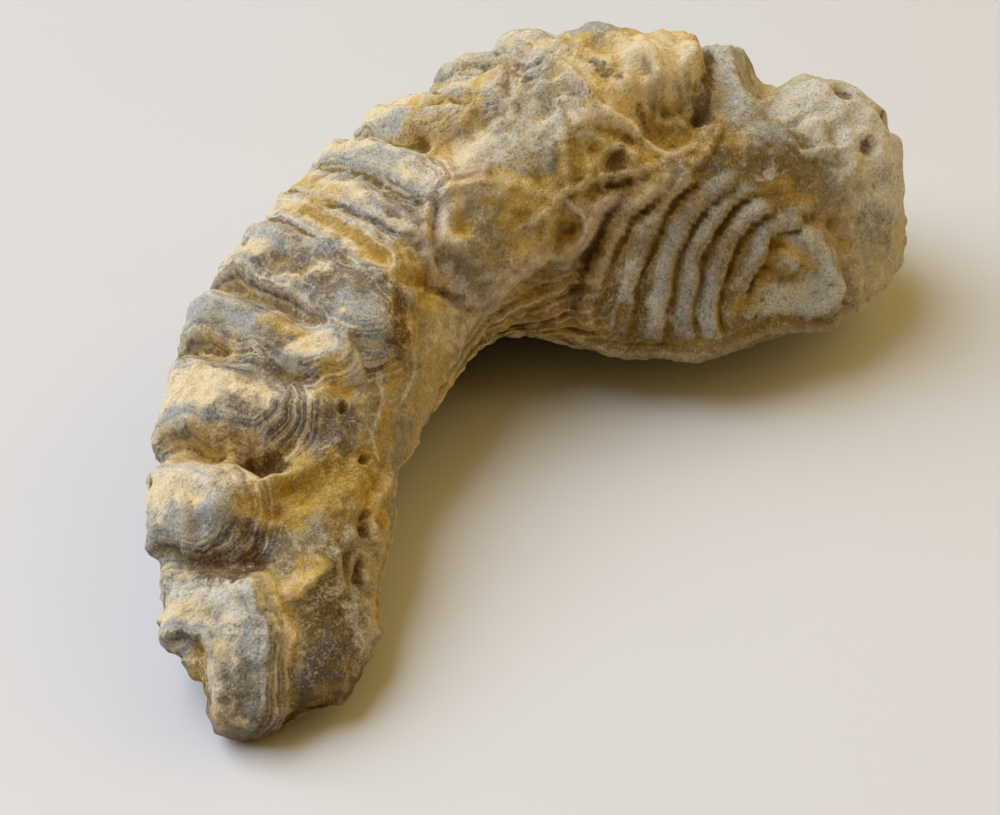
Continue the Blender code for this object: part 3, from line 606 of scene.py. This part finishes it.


# Where each colour lies: lines with a half width, or single places with a radius, and a strength. The deep
# marks are painted shade, and a few pale ones are painted highlight.
stains = {"olive": [
    ((480, 240), 9, 0.55), ([(300, 640), (310, 560)], 9, 0.85),
    ([(745, 135), (800, 150), (830, 185)], 6, 0.9), ((350, 500), 8, 0.6), ([(395, 400), (380, 440)], 5, 0.6),
    ([(880, 270), (866, 300)], 4, 0.5), ([(755, 132), (800, 128)], 3, 0.9), ((690, 110), 5, 0.6),
], "umber": [
    ([(300, 612), (318, 640)], 6, 0.95), ([(300, 672), (332, 682)], 4.5, 0.9),
    ([(240, 698), (262, 712)], 3, 0.7), ([(320, 520), (335, 540)], 5, 0.5), ((352, 655), 4, 0.6),
    ([(398, 340), (398, 305)], 3.2, 0.95), ([(640, 310), (590, 290)], 5, 1), ((300, 650), 4, 0.7),
    ([(236, 562), (252, 550)], 2, 0.6), ([(600, 345), (640, 352)], 1.6, 0.7),
    ([(565, 300), (600, 320)], 3, 0.6),
], "amber": [
    ([(262, 497), (300, 486), (345, 472)], 2.8, 0.9), ([(370, 465), (378, 498)], 3, 0.9),
    ([(396, 300), (401, 342)], 1.1, 0.7), ([(302, 202), (340, 224), (384, 254), (432, 284)], 1, 0.9),
    ([(575, 330), (585, 292), (606, 250)], 2, 0.7), ((545, 205), 4, 0.6), ((575, 238), 3.4, 0.5),
    ([(603, 160), (640, 160)], 4, 0.8), ([(694, 124), (668, 130)], 3.4, 1),
    ([(424, 282), (450, 292)], 2, 0.4), ((735, 130), 2.8, 0.6), ([(562, 290), (545, 320)], 2.6, 0.8),
    ([(197, 655), (200, 690), (202, 712)], 1.2, 0.9),
    ([(775, 250), (772, 264), (779, 277), (797, 281)], 1.3, 1), ([(806, 217), (846, 226)], 0.9, 1),
    ([(828, 243), (856, 248)], 0.9, 1), ([(768, 187), (790, 181)], 1, 0.9),
    ([(792, 201), (814, 198)], 0.9, 0.8), ([(762, 294), (752, 306)], 1.5, 0.9),
    ([(846, 292), (852, 268)], 3, 0.7), ([(700, 205), (690, 215)], 1.6, 0.6),
    ([(330, 378), (345, 378)], 1.1, 0.6), ([(292, 446), (250, 447)], 1.4, 0.6),
], "purpleGrey": [
    ([(268, 268), (318, 258)], 2.4, 1), ([(325, 300), (345, 290), (385, 298)], 3.2, 1), ((345, 312), 3, 0.7),
    ([(240, 318), (258, 345)], 3.6, 1), ([(290, 420), (330, 425)], 4, 1),
    ([(210, 432), (236, 418)], 2.6, 0.9), ([(180, 545), (215, 545), (250, 530)], 3.2, 1),
    ([(260, 640), (270, 668), (256, 700)], 2.4, 0.9), ([(318, 680), (345, 652)], 2.2, 1),
    ([(700, 150), (725, 135)], 3.2, 0.9), ([(196, 360), (290, 385)], 1.8, 0.8),
    ([(385, 200), (412, 208)], 1.8, 0.9), ([(246, 708), (290, 722)], 2.6, 0.8),
    ([(247, 688), (253, 706)], 2.4, 1), ([(872, 215), (890, 235)], 2.2, 1),
    ([(320, 385), (345, 400)], 2.2, 0.5), ([(170, 580), (176, 560)], 2.6, 0.7),
    ([(400, 400), (392, 330)], 1.6, 0.4), ((375, 455), 1.2, 1), ((350, 449), 1.3, 0.8),
    ((346, 405), 1.1, 0.8), ([(560, 165), (566, 140)], 1.8, 0.8), ([(390, 130), (424, 120)], 1.8, 0.7),
    ([(245, 243), (270, 240)], 1.6, 0.6),
], "blueGrey": [
    ([(155, 528), (190, 528), (224, 515), (242, 500)], 1.5, 0.9),
    ([(176, 590), (212, 594), (246, 612), (256, 650)], 1.2, 0.8), ([(360, 318), (368, 328)], 2.4, 1),
    ([(345, 165), (385, 165)], 2.6, 1), ([(390, 128), (425, 118)], 2.8, 1),
    ([(425, 80), (470, 78)], 2.4, 0.8), ([(475, 55), (515, 52)], 2, 0.9), ([(600, 30), (560, 36)], 2.2, 0.8),
    ((744, 88), 6, 1), ([(722, 60), (760, 110)], 4.6, 1), ((790, 262), 1.5, 1),
    ([(765, 304), (790, 300), (815, 300), (830, 285), (822, 255), (806, 234), (780, 236)], 2.4, 1),
    ([(530, 226), (552, 212), (566, 196)], 1.6, 0.9), ((595, 206), 2.4, 0.9),
    ([(300, 240), (330, 246)], 1.4, 0.7), ([(250, 235), (290, 243)], 1.6, 0.9),
    ([(410, 190), (450, 168)], 1.4, 0.6), ([(355, 210), (395, 195)], 1.4, 0.8),
    ([(200, 310), (262, 322)], 2, 1), ([(206, 612), (222, 628)], 2.2, 0.7),
    ([(164, 636), (190, 660)], 1, 0.9), ((840, 110), 7, 0.6), ([(290, 300), (310, 320)], 1.2, 0.5),
    ((400, 290), 2.6, 0.7),
], "cream": [
    ([(165, 500), (205, 497)], 3.2, 1), ([(216, 476), (240, 486)], 4.4, 1),
    ([(345, 232), (374, 248)], 1.8, 1), ([(180, 395), (235, 398)], 3, 1), ((320, 350), 2.2, 1),
    ([(198, 295), (250, 298), (292, 322)], 1.4, 1), ([(245, 222), (300, 224), (332, 252)], 2, 0.5),
    ([(430, 345), (480, 320), (520, 300)], 3, 0.5), ([(450, 165), (405, 180), (445, 205)], 3, 1),
    ((452, 140), 3.6, 1), ([(640, 62), (665, 52)], 5.5, 1), ([(595, 95), (620, 75)], 5, 0.9),
    ([(560, 73), (599, 108), (655, 137)], 1.6, 1), ([(420, 225), (445, 190)], 2.4, 0.8),
    ([(330, 140), (380, 145), (420, 150)], 1.5, 0.7), ([(370, 108), (440, 105)], 1.6, 0.6),
    ([(410, 76), (480, 72)], 1.3, 0.5), ([(170, 460), (230, 462), (250, 490)], 1.1, 1),
    ([(160, 592), (215, 595), (245, 615)], 1.2, 0.5), ([(230, 470), (262, 476)], 2, 0.9),
    ([(205, 605), (222, 640), (215, 680)], 1.3, 0.5), ([(595, 135), (612, 150)], 2.4, 0.7),
    ([(520, 345), (560, 300)], 2, 0.5), ([(290, 330), (322, 338)], 1, 0.9), ([(860, 90), (885, 120)], 4, 0.5),
    ([(868, 150), (888, 175)], 3.6, 0.9), ([(850, 190), (858, 230), (852, 290)], 3, 0.6),
    ([(820, 95), (850, 90)], 4, 0.5), ([(285, 590), (304, 577)], 1, 0.9),
    ([(320, 175), (372, 195), (420, 230)], 2, 0.8),
], "ochre": [
    ([(298, 200), (340, 225), (384, 256)], 1.5, 0.8), ([(400, 266), (440, 287)], 2.4, 1),
    ([(190, 440), (240, 448), (300, 450)], 2.2, 0.8), ([(396, 300), (401, 342)], 1.3, 0.7),
    ((337, 378), 1.7, 1), ([(262, 497), (300, 486), (340, 466)], 2.6, 1), ([(372, 465), (380, 500)], 2.6, 1),
    ((545, 200), 5, 1), ((575, 238), 3.6, 1), ([(603, 160), (640, 160)], 5, 0.9), ((420, 130), 3.4, 1),
    ([(700, 130), (668, 128)], 3.4, 0.8), ([(692, 40), (706, 70)], 2.2, 0.9), ((735, 130), 3.2, 0.7),
    ((866, 162), 2.6, 1), ((463, 222), 1.8, 1), ([(640, 40), (655, 34)], 3, 0.9),
    ([(290, 585), (318, 562)], 1.4, 0.9), ([(197, 655), (200, 690), (202, 712)], 1.6, 1),
    ([(322, 698), (345, 690)], 3, 0.5), ([(200, 350), (225, 350)], 2, 0.7),
    ([(300, 335), (275, 320)], 1.4, 0.8), ([(165, 440), (182, 455)], 2, 0.7),
    ([(410, 99), (470, 97), (500, 70)], 1.8, 0.9), ([(440, 84), (496, 62)], 1.6, 0.6),
    ([(350, 130), (400, 140)], 1.2, 0.7), ([(560, 50), (600, 55)], 3, 0.6),
    ([(330, 195), (300, 180)], 1.8, 0.8), ([(540, 300), (520, 330)], 2.2, 0.8),
    ([(590, 60), (575, 45)], 2.4, 0.7), ([(590, 330), (560, 330)], 2.4, 0.8), ((255, 500), 1.6, 0.8),
    ([(780, 246), (802, 256), (814, 270)], 1, 1), ([(740, 312), (762, 296)], 1.6, 0.8),
    ([(846, 226), (850, 262)], 1.8, 0.7), ([(600, 88), (625, 96)], 3, 0.8),
    ([(350, 480), (345, 520)], 3, 0.5), ([(400, 372), (392, 440)], 1.5, 0.7),
# The deep marks lie in pits, slits and furrows and along the bulb's cliff: painted shade.
], "deep": [
    ([(592, 70), (604, 80), (618, 84)], 0.7, 0.8), ([(575, 88), (592, 100)], 0.6, 0.6),
    ([(640, 108), (655, 118)], 0.9, 0.7), ([(470, 300), (440, 288)], 0.6, 0.7),
    ([(236, 452), (272, 452)], 0.9, 1), ([(611, 187), (632, 181)], 0.5, 0.8),
    ([(625, 200), (592, 255), (572, 315)], 0.7, 0.7), ([(240, 560), (252, 545)], 1.8, 0.9),
    ([(210, 562), (222, 566)], 1.8, 0.9), ([(366, 562), (368, 580)], 0.6, 0.9),
    ([(372, 510), (371, 530)], 0.6, 0.9), ((707, 102), 1.3, 1), ((619, 158), 1.3, 1), ((840, 99), 1.4, 0.8),
    ((882, 124), 1.3, 0.8), ((864, 147), 1.1, 0.9), ((153, 489), 0.9, 1), ((157, 621), 0.9, 1),
    ([(694, 36), (706, 52), (712, 72), (706, 92)], 0.9, 1), ((548, 104), 1.2, 0.6),
    ([(286, 455), (262, 466)], 0.7, 0.7), ((345, 403), 0.6, 0.8), ((375, 455), 0.7, 0.9),
    ([(384, 410), (388, 440)], 1.4, 0.4), ([(396, 300), (399, 342)], 1.6, 0.8),
], "pink": [
    ([(484, 163), (453, 175), (433, 195), (426, 222), (429, 246), (443, 273), (465, 295), (484, 307),
      (505, 292)], 1.3, 1),
    ([(516, 278), (536, 263), (552, 257)], 1.2, 1), ([(531, 54), (516, 61), (500, 82), (505, 105)], 1.5, 0.9),
    ([(583, 346), (618, 355), (645, 360), (676, 362), (716, 353), (769, 334), (826, 329),
      (860, 310)], 0.7, 0.5),
    ([(640, 178), (612, 205), (585, 250)], 1.2, 0.8), ([(345, 195), (385, 215), (405, 235)], 1.2, 0.6),
    ([(567, 202), (584, 215), (587, 238), (577, 256)], 0.9, 0.9),
    ([(716, 108), (700, 140), (668, 168)], 1.2, 0.7),
], "pale": [
    ([(495, 130), (520, 140)], 4.6, 0.6), ([(515, 95), (535, 100)], 3.6, 0.6), ((560, 108), 3.4, 0.8),
    ([(425, 165), (440, 215)], 1.6, 0.9), ([(300, 560), (330, 540)], 4, 0.4),
    # the thin pale lines on this row lie on wall plate crests: painted highlight
    ([(625, 300), (636, 270)], 1, 0.9), ([(655, 300), (660, 320)], 1.4, 0.9),
    ([(805, 152), (842, 148)], 0.9, 0.9), ([(776, 303), (800, 301), (818, 298)], 2, 1),
    ([(818, 298), (832, 284), (822, 254), (806, 232)], 1.1, 1),
    ([(724, 62), (744, 90), (754, 112)], 3.6, 0.6), ([(216, 476), (238, 486)], 2.2, 0.7),
    ([(382, 372), (391, 400), (380, 430), (387, 456)], 0.4, 0.9),
    ([(410, 330), (420, 370), (404, 410)], 0.4, 0.8),
    ([(176, 592), (222, 594), (242, 618), (234, 655), (217, 690), (212, 716)], 0.9, 0.8),
    ((790, 262), 0.8, 0.7), ((770, 172), 1.2, 1), ([(430, 250), (470, 290)], 0.9, 0.8),
    ([(245, 237), (262, 240)], 1, 0.9), ([(800, 100), (860, 130), (890, 170)], 6, 1),
    ([(365, 620), (372, 650)], 2.6, 0.6), ([(470, 300), (482, 303)], 1.2, 0.6),
]}


def stainMask(s, marks, seed):
    total = np.zeros(len(s.points))
    ragged = 0.45 * lumps(s.points, 1.8, seed) + 0.30 * lumps(s.points, 0.8, seed + 1)
    for pixels, reach, strength in marks:
        if isinstance(pixels, list):
            distance = drawn(s.points, pixels)[0]
        else:
            distance = np.linalg.norm(s.points - onShell(pixels), axis=1)
        total = np.maximum(total, strength * fade(0.25, 1.65, distance / reach + ragged))
    return total


def cavities(relief, passes):  # how far each point lies below its neighbours
    grid = relief.reshape(shell["rings"] - 1, shell["corners"])
    soft = grid.copy()
    for _ in range(passes):
        padded = np.pad(soft, ((1, 1), (0, 0)), mode="edge")
        soft = (np.roll(soft, 1, 1) + np.roll(soft, -1, 1) + padded[:-2] + padded[2:] + soft) / 5
    return (soft - grid).ravel()


def addMasks(s):
    along, around, past = s.along, s.around, s.pastRim
    ends = ease(0.02, 0.08, along) * fade(0.88, 0.96, along)
    low = fade(1.0, 6.0, s.points[:, 2])
    trough = (1 - np.abs(np.sin(math.pi * s.count))) ** 1.5
    underside = ease(0.525, 0.56, around) * fade(0.84, 0.88, around) * ends
    onWall = ease(0.42, 0.6, along) * fade(0.84, 0.93, along)
    masks = {
        "outerSide": s.outerSide * ends,
        "trough": trough * s.outerSide * ends * (1 - s.onFold),
        "nestShare": np.minimum(s.nestShare, 4),
        "cavity": cavities(s.relief, 8),
        "fineCavity": cavities(s.relief, 2),
        # painted light: the beak end lighter, away from the floor
        "paintedBeakLight": ease(0.80, 0.92, along) * (1 - low),
        # painted shade: darker on the underside and within a few mm of the floor, where the shell shades
        # itself
        "paintedUnderShade": np.maximum(underside, low),
        "wall": ease(0.0, 2.0, past) * (around < 0.52) * onWall,
        "flank": ease(0.0, 2.0, past) * (around < 0.56) * fade(0.60, 0.68, along),
    }
    for name in ("nest", "onFold", "pastRim", "tipSide", "plate", "crest", "gully", "seamward"):
        masks[name] = getattr(s, name)
    for seed, (name, marks) in enumerate(stains.items()):
        masks[name] = stainMask(s, marks, 80 + 2 * seed)
    for name, values in masks.items():
        addMask(name, values)


print("shell: surface")
sightMap = makeSightMap()
mesh, surface = buildShell()
fossil = addObject("fossilShell", mesh)

print("shell: where each colour lies")
addMasks(surface)

print("shell: stone")
stone = {
    "buff": (0.54, 0.39, 0.15),
    "greyBuff": (0.34, 0.285, 0.18),
    "olive": (0.25, 0.18, 0.06),
    "umber": (0.120, 0.080, 0.026),
    "amber": (0.42, 0.24, 0.022),
    "purpleGrey": (0.135, 0.113, 0.092),
    "pepper": (0.045, 0.040, 0.040),
    "white": (0.74, 0.71, 0.64),
    "blueGrey": (0.46, 0.475, 0.45),
    "cream": (0.98, 0.80, 0.48),
    "ochre": (0.70, 0.43, 0.06),
    "slate": (0.48, 0.455, 0.37),
    # deep: the dark specks, and the colour of painted shade
    "deep": (0.10, 0.045, 0.008),
    "pink": (0.58, 0.40, 0.26),
    "pale": (0.80, 0.76, 0.63),
    "valley": (0.20, 0.13, 0.032),
}
finish = {"specular": 0.15, "bumpStrength": 0.75, "bumpDepth": 0.55}

material = newMaterial("fossilStone")
nodes, links = material.node_tree.nodes, material.node_tree.links
where = nodes.new("ShaderNodeTexCoord").outputs["Object"]


def noise(size, detail, rough):  # size is that of the lumps, in mm
    node = nodes.new("ShaderNodeTexNoise")
    node.inputs["Scale"].default_value = 1 / (size * mm)
    node.inputs["Detail"].default_value = detail
    node.inputs["Roughness"].default_value = rough
    links.new(where, node.inputs["Vector"])
    return node.outputs["Fac"]


def setRange(node, *numbers):
    for name, number in zip(("From Min", "From Max", "To Min", "To Max"), numbers):
        node.inputs[name].default_value = number


def spread(value, low, high, start=0.0, end=1.0):
    node = nodes.new("ShaderNodeMapRange")
    node.interpolation_type = "SMOOTHSTEP"
    setRange(node, low, high, start, end)
    links.new(value, node.inputs["Value"])
    return node.outputs["Result"]


def reckon(operation, a, b):
    node = nodes.new("ShaderNodeMath")
    node.operation = operation
    for socket, value in zip(node.inputs, (a, b)):
        if isinstance(value, (int, float)):
            socket.default_value = value
        else:
            links.new(value, socket)
    return node.outputs["Value"]


def times(a, b):
    return reckon("MULTIPLY", a, b)


def plus(a, b):
    return reckon("ADD", a, b)


def minus(a, b):
    return reckon("SUBTRACT", a, b)


def mask(name):
    node = nodes.new("ShaderNodeAttribute")
    node.attribute_name = name
    return node.outputs["Fac"]


def layOver(colour, tint, amount):  # each colour is a name from stone or what a node puts out
    node = nodes.new("ShaderNodeMix")
    node.data_type = "RGBA"
    links.new(amount, node.inputs["Factor"])
    for socket, value in ((node.inputs[6], colour), (node.inputs[7], tint)):
        if isinstance(value, str):
            socket.default_value = (*stone[value], 1)
        else:
            links.new(value, socket)
    return node.outputs[2]


def broken(name, grain, strength):  # a mask with its edge broken up by grain
    rough = times(minus(grain, 0.5), 1.9)
    return times(spread(plus(mask(name), rough), 0.30, 0.95), strength)


def lines(name, gap, warp, wander):  # 0 to 1 across each line, with a wandering course
    turns = plus(times(mask(name), math.tau / gap), times(warp, wander))
    return plus(times(reckon("SINE", turns, 0), 0.5), 0.5)


def bandTint(share, stops):
    node = nodes.new("ShaderNodeValToRGB")
    ramp = node.color_ramp
    while len(ramp.elements) < len(stops):
        ramp.elements.new(1.0)
    for element, (position, tint) in zip(ramp.elements, stops):
        element.position = position
        element.color = (*stone[tint], 1)
    links.new(times(share, 0.5), node.inputs["Fac"])
    return node.outputs["Color"]


def veins(value, middle, width):  # thin lines where noise passes through one value
    off = reckon("ABSOLUTE", minus(value, middle), 0)
    return spread(off, width, 0.25 * width)


patchy = noise(5.0, 4.0, 0.6)
middling = noise(2.2, 5.0, 0.7)
fine = noise(0.8, 4.0, 0.75)
grit = noise(0.26, 3.0, 0.75)
mottle = noise(0.30, 2.0, 0.6)
thinLines = lines("nest", 1.15, middling, 3.5)
fineLines = lines("nest", 0.50, middling, 4.5)
layerLines = lines("pastRim", 0.9, middling, 9.0)
growthLines = lines("seamward", 1.7, plus(patchy, times(middling, 0.6)), 16.0)
lined = times(mask("onFold"), spread(mask("nestShare"), 0.25, 0.65))
lined = times(lined, spread(patchy, 0.38, 0.60, 0.25, 1.0))
bare = minus(1.0, times(mask("wall"), 0.6))
grey = reckon("MAXIMUM", reckon("MAXIMUM", mask("purpleGrey"), mask("blueGrey")),
              reckon("MAXIMUM", mask("plate"), mask("pale")))

upperBands = [(0.00, "cream"), (0.22, "cream"), (0.30, "pale"), (0.36, "blueGrey"), (0.42, "cream"),
              (0.50, "greyBuff"), (0.62, "cream"), (0.72, "ochre"), (0.84, "buff")]
# The tip side of each fold runs darker: partly the stone's purple-grey bands, partly painted shade on that
# flank.
lowerBands = [(0.00, "cream"), (0.18, "cream"), (0.25, "blueGrey"), (0.32, "blueGrey"), (0.35, "pale"),
              (0.39, "purpleGrey"), (0.52, "purpleGrey"), (0.56, "blueGrey"), (0.62, "purpleGrey"),
              (0.80, "umber")]


def foldTint():
    share = plus(mask("nestShare"), times(minus(middling, 0.5), 0.80))
    share = plus(share, times(minus(fine, 0.5), 0.50))
    return layOver(bandTint(share, upperBands), bandTint(share, lowerBands), mask("tipSide"))


def bodyLayers():  # the buff body, the back, and the large stains
    backPatches = times(spread(noise(8.0, 4.0, 0.65), 0.50, 0.62), mask("outerSide"))
    growth = times(mask("outerSide"), spread(patchy, 0.35, 0.60, 0.2, 1.0))
    return [
        ("greyBuff", spread(patchy, 0.40, 0.60)),
        ("cream", spread(middling, 0.50, 0.66, 0, 0.50)),
        ("purpleGrey", times(backPatches, 0.65)),
        ("cream", times(spread(growthLines, 0.70, 1.0, 0, 0.40), growth)),
        ("amber", times(spread(growthLines, 0.25, 0.0, 0, 0.30), growth)),
        ("ochre", broken("trough", middling, 0.65)),
        ("olive", broken("olive", middling, 0.85)),
        ("umber", broken("umber", middling, 0.90)),
        ("cream", broken("cream", middling, 0.85)),
    ]


def foldAndWallLayers():  # bands of the folds, then the wall with its plates, and the smaller stains
    soaked = plus(mask("cavity"), times(fine, 0.25))
    dry = minus(1.0, times(mask("olive"), 0.75))
    return [
        (foldTint(), times(mask("onFold"), 0.88)),
        ("valley", broken("wall", fine, 0.88)),
        ("purpleGrey", broken("purpleGrey", middling, 0.85)),
        ("blueGrey", broken("blueGrey", middling, 0.85)),
        ("ochre", times(spread(soaked, 0.16, 0.60, 0, 0.75), dry)),
        ("ochre", broken("ochre", middling, 0.80)),
        # the gullies past the plate crests darker: the stone's brown and painted shade
        ("valley", broken("gully", fine, 0.60)),
        ("amber", times(broken("gully", fine, 0.8), spread(patchy, 0.42, 0.54))),
        ("slate", broken("plate", middling, 0.85)),
        ("pink", broken("crest", fine, 0.70)),
        ("pink", broken("pink", fine, 0.7)),
        ("amber", broken("amber", middling, 0.85)),
        ("pale", broken("pale", fine, 0.75)),
    ]


def lineLayers():  # growth lines, and ridges and edges made pale: partly wear, partly painted highlight
    wornAndLitEdges = minus(times(fine, 0.12), mask("fineCavity"))
    return [
        ("cream", times(spread(thinLines, 0.62, 1.0, 0, 0.52), lined)),
        ("purpleGrey", times(spread(thinLines, 0.32, 0.0, 0, 0.34), lined)),
        ("pale", times(spread(fineLines, 0.65, 1.0, 0, 0.32), lined)),
        ("cream", times(spread(layerLines, 0.60, 1.0, 0, 0.55), mask("flank"))),
        ("cream", times(veins(patchy, 0.52, 0.010), 0.25)),
        # ridges lighter than hollows: wear and painted highlight
        ("cream", times(spread(wornAndLitEdges, 0.06, 0.18, 0, 0.36), bare)),
    ]


def crustLayers():  # mottling, specks, painted light on the beak end, and painted shade in hollows, slits, cavities, under the shell and near the floor
    warm = minus(1.0, grey)
    cavityShade = plus(mask("fineCavity"), times(fine, 0.12))
    return [
        ("umber", times(spread(mottle, 0.53, 0.68, 0, 0.45), plus(times(grey, 0.5), 0.4))),
        ("cream", times(spread(mottle, 0.47, 0.34, 0, 0.22), warm)),
        ("umber", spread(middling, 0.55, 0.66, 0, 0.26)),
        # painted light on the beak end
        ("pale", times(mask("paintedBeakLight"), 0.28)),
        ("pepper", times(spread(grit, 0.50, 0.66, 0, 0.34), grey)),
        ("white", times(spread(grit, 0.46, 0.34, 0, 0.28), grey)),
        # painted shade in the pits, slits and furrows
        ("deep", broken("deep", fine, 0.85)),
        # painted shade: darker in every small cavity
        ("deep", spread(cavityShade, 0.12, 0.30, 0, 0.65)),
        ("deep", times(spread(grit, 0.54, 0.70, 0, 0.60), spread(middling, 0.38, 0.62, 0.05, 1.0))),
        ("deep", spread(fine, 0.56, 0.70, 0, 0.35)),
        ("cream", times(spread(grit, 0.45, 0.32, 0, 0.22), bare)),
        # painted shade under the shell and near the floor
        ("deep", times(mask("paintedUnderShade"), 0.85)),
    ]


def dressShell():
    shader = nodes["Principled BSDF"]
    colour = "buff"
    for tint, amount in bodyLayers() + foldAndWallLayers() + lineLayers() + crustLayers():
        colour = layOver(colour, tint, amount)
    links.new(colour, shader.inputs["Base Color"])
    links.new(spread(middling, 0.3, 0.7, 0.70, 0.92), shader.inputs["Roughness"])
    shader.inputs["Specular IOR Level"].default_value = finish["specular"]
    height = plus(plus(times(fine, 0.7), times(grit, 0.5)), times(times(fineLines, lined), 0.16))
    bump = nodes.new("ShaderNodeBump")
    bump.inputs["Strength"].default_value = finish["bumpStrength"]
    bump.inputs["Distance"].default_value = finish["bumpDepth"] * mm
    links.new(height, bump.inputs["Height"])
    links.new(bump.outputs["Normal"], shader.inputs["Normal"])
    mesh.materials.append(material)


dressShell()
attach(fossil, "root")
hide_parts("fossil_clam")

print("floor, lights and camera")
setting = {  # metres and watts
    "floorSize": 24.0,
    "floorColour": (0.72, 0.72, 0.72),
    "key": {"place": (-0.50, 0.66, 1.05), "size": 1.3, "power": 24.6, "colour": (0.745, 0.835, 1.0)},
    "fill": {"place": (0.80, -0.34, 0.48), "size": 1.2, "power": 4.6, "colour": (1.0, 0.78, 0.30)},
    "roomLight": (0.28, 0.9, 0.02, 0.86),  # from this height to that, from this strength to that
    "roomColour": (0.46, 0.30, 0.08),
    "sensor": 36.0,  # mm, over the 1000 of the frame's width
}


def addStage():
    half = setting["floorSize"] / 2
    corners = [(-half, -half, 0), (half, -half, 0), (half, half, 0), (-half, half, 0)]
    floorMesh = bpy.data.meshes.new("floor")
    floorMesh.from_pydata(corners, [], [(0, 1, 2, 3)])
    floorMaterial = newMaterial("paleTable")
    floorShader = floorMaterial.node_tree.nodes["Principled BSDF"]
    floorShader.inputs["Base Color"].default_value = (*setting["floorColour"], 1)
    floorShader.inputs["Roughness"].default_value = 0.55
    floorMesh.materials.append(floorMaterial)
    addObject("floor", floorMesh)


def addLamp(name):
    lamp = bpy.data.lights.new(name, "AREA")
    lamp.size = setting[name]["size"]
    lamp.energy = setting[name]["power"]
    lamp.color = setting[name]["colour"]
    holder = addObject(name, lamp)
    holder.location = setting[name]["place"]
    holder.rotation_euler = (-holder.location).to_track_quat("-Z", "Y").to_euler()


def addRoom():  # light from above, next to none from the sides
    world = bpy.data.worlds.new("room")
    world.use_nodes = True
    roomNodes, roomLinks = world.node_tree.nodes, world.node_tree.links
    height = roomNodes.new("ShaderNodeSeparateXYZ")
    roomLinks.new(roomNodes.new("ShaderNodeTexCoord").outputs["Generated"], height.inputs["Vector"])
    ramp = roomNodes.new("ShaderNodeMapRange")
    setRange(ramp, *setting["roomLight"])
    roomLinks.new(height.outputs["Z"], ramp.inputs["Value"])
    roomNodes["Background"].inputs["Color"].default_value = (*setting["roomColour"], 1)
    roomLinks.new(ramp.outputs["Result"], roomNodes["Background"].inputs["Strength"])
    scene.world = world


def addCamera():
    lens = bpy.data.cameras.new("camera")
    lens.sensor_width = setting["sensor"]
    lens.lens = view["focus"] * setting["sensor"] / (2 * view["middle"][0])
    lens.clip_start = 0.005
    camera = addObject("camera", lens)
    camera.location = Vector(view["place"]) * mm
    camera.rotation_euler = (math.radians(90 - view["elevation"]), 0, math.radians(view["azimuth"]))
    bpy.context.scene.camera = camera


addStage()
addLamp("key")
addLamp("fill")
addRoom()
addCamera()
scene.view_settings.view_transform = "Standard"
